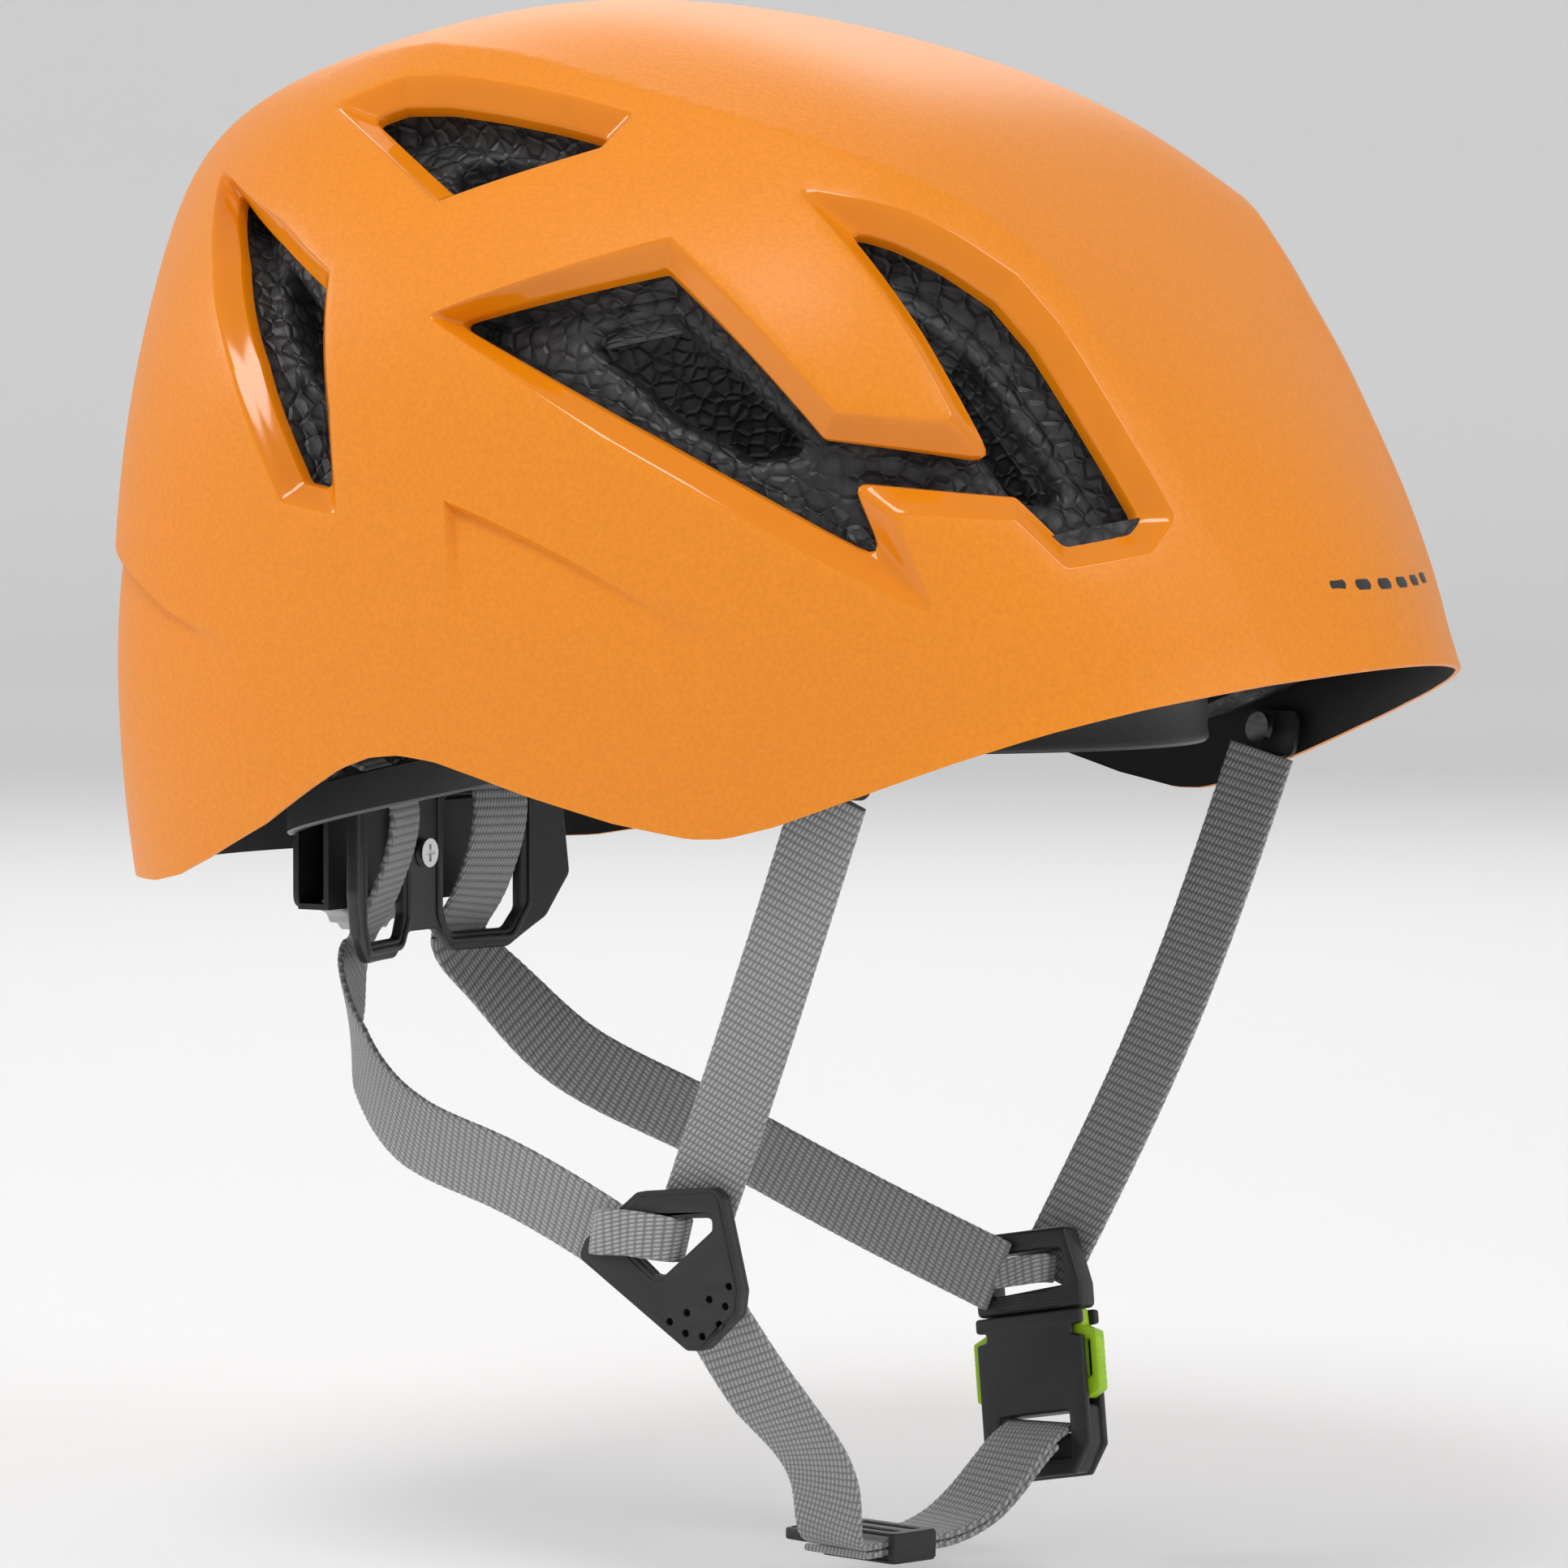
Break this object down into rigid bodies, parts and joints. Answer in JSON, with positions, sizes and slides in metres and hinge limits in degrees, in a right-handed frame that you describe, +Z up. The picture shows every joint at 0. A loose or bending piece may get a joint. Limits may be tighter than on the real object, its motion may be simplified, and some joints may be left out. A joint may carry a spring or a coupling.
{
  "type": "arborist helmet",
  "caption": "Vented climbing and tree-work helmet with a foam liner, an adjustable nape cradle and a four-point webbing chin strap with a side-release buckle.",
  "frame": {"origin": "middle of the head opening at the height of the front brim, on the wearer's centre plane", "axes": "+X forward towards the brim, +Y towards the wearer's left, +Z up through the crown"},
  "size_m": [0.2806, 0.218, 0.3123],
  "materials": {
    "shell_orange": "fine grained moulded plastic, glossy on the vent lips",
    "bead_foam": "moulded foam beads",
    "pad_foam": "soft knitted cover over foam",
    "band_grey": "satin nylon with a light grain",
    "hook_black": "hook-and-loop tape",
    "black_plastic": "lightly grained moulded plastic",
    "wheel_grey": "soft satin",
    "steel": "polished",
    "webbing_grey": "ribbed woven polyester",
    "lime_plastic": "moulded gloss"
  },
  "bodies": {
    "shell_and_liner": {"outer_shell": "shell_orange", "eps_liner": "bead_foam", "liner_studs": "black_plastic", "crown_pad": "pad_foam", "front_headband": "band_grey", "brow_pad": "pad_foam", "side_pad_right": "pad_foam", "side_pad_left": "pad_foam", "hook_patches": "hook_black", "side_mount_right": "black_plastic", "side_mount_left": "black_plastic", "front_anchor_right": "black_plastic", "front_anchor_left": "black_plastic", "rear_anchor_right": "black_plastic", "rear_anchor_left": "black_plastic", "anchor_rivets": "steel", "right_front_strap": "webbing_grey", "left_front_strap": "webbing_grey", "right_rear_strap": "webbing_grey", "left_rear_strap": "webbing_grey", "buckle_plug": "black_plastic"},
    "cradle": {"nape_cradle": "band_grey", "arm_right": "band_grey", "arm_left": "band_grey", "adjuster_housing": "band_grey", "housing_cover": "band_grey", "detent_spring": "steel"},
    "wheel": {"adjuster_wheel": "wheel_grey", "pinion": "black_plastic", "wheel_screw": "steel"},
    "band_right": {"ratchet_band_right": "band_grey"},
    "band_left": {"ratchet_band_left": "band_grey"},
    "socket": {"buckle_socket": "black_plastic", "chin_strap": "webbing_grey", "chin_strap_tail": "webbing_grey"},
    "rear_prong": {"prong_rear": "lime_plastic"},
    "front_prong": {"prong_front": "lime_plastic"},
    "slider": {"chin_slider": "black_plastic"},
    "divider": {"strap_divider": "black_plastic"}
  },
  "joints": [
    {"name": "cradle_tilt", "type": "hinge", "parent": "shell_and_liner", "child": "cradle", "pos_m": [0.015, 0, -0.012], "axis": [0, 1, 0], "range_deg": [-8, 12], "deforming": ["right_rear_strap", "left_rear_strap"]},
    {"name": "wheel_turn", "type": "hinge", "parent": "cradle", "child": "wheel", "pos_m": [-0.0885, 0, -0.0408], "axis": [1, 0, 0], "range_deg": [-75, 75]},
    {"name": "band_right_draw", "type": "slide", "parent": "cradle", "child": "band_right", "axis": [0, 1, 0], "range_m": [-0.0065, 0.0065]},
    {"name": "band_left_draw", "type": "slide", "parent": "cradle", "child": "band_left", "axis": [0, 1, 0], "range_m": [-0.0065, 0.0065]},
    {"name": "buckle_release", "type": "slide", "parent": "shell_and_liner", "child": "socket", "axis": [0.1715, -0.1564, -0.9727], "range_m": [0, 0.025], "deforming": ["chin_strap"]},
    {"name": "rear_prong_press", "type": "hinge", "parent": "shell_and_liner", "child": "rear_prong", "pos_m": [0.02779, 0.05332, -0.13689], "axis": [-0.0272, -0.9877, 0.1541], "range_deg": [0, 8], "stiffness_Nm_per_rad": 0.6},
    {"name": "front_prong_press", "type": "hinge", "parent": "shell_and_liner", "child": "front_prong", "pos_m": [0.04768, 0.05332, -0.13338], "axis": [0.0272, 0.9877, -0.1541], "range_deg": [0, 8], "stiffness_Nm_per_rad": 0.6},
    {"name": "slider_shift", "type": "slide", "parent": "socket", "child": "slider", "axis": [0.1961, 0.9803, -0.0245], "range_m": [-0.005, 0.005]},
    {"name": "divider_shift", "type": "slide", "parent": "shell_and_liner", "child": "divider", "axis": [0.3785, -0.2247, 0.8979], "range_m": [-0.008, 0.008], "deforming": ["right_front_strap", "right_rear_strap", "chin_strap"]}
  ],
  "couplings": [
    {"joint": "band_right_draw", "follows": "wheel_turn", "m_per_rad": -0.0045},
    {"joint": "band_left_draw", "follows": "wheel_turn", "m_per_rad": 0.0045}
  ]
}
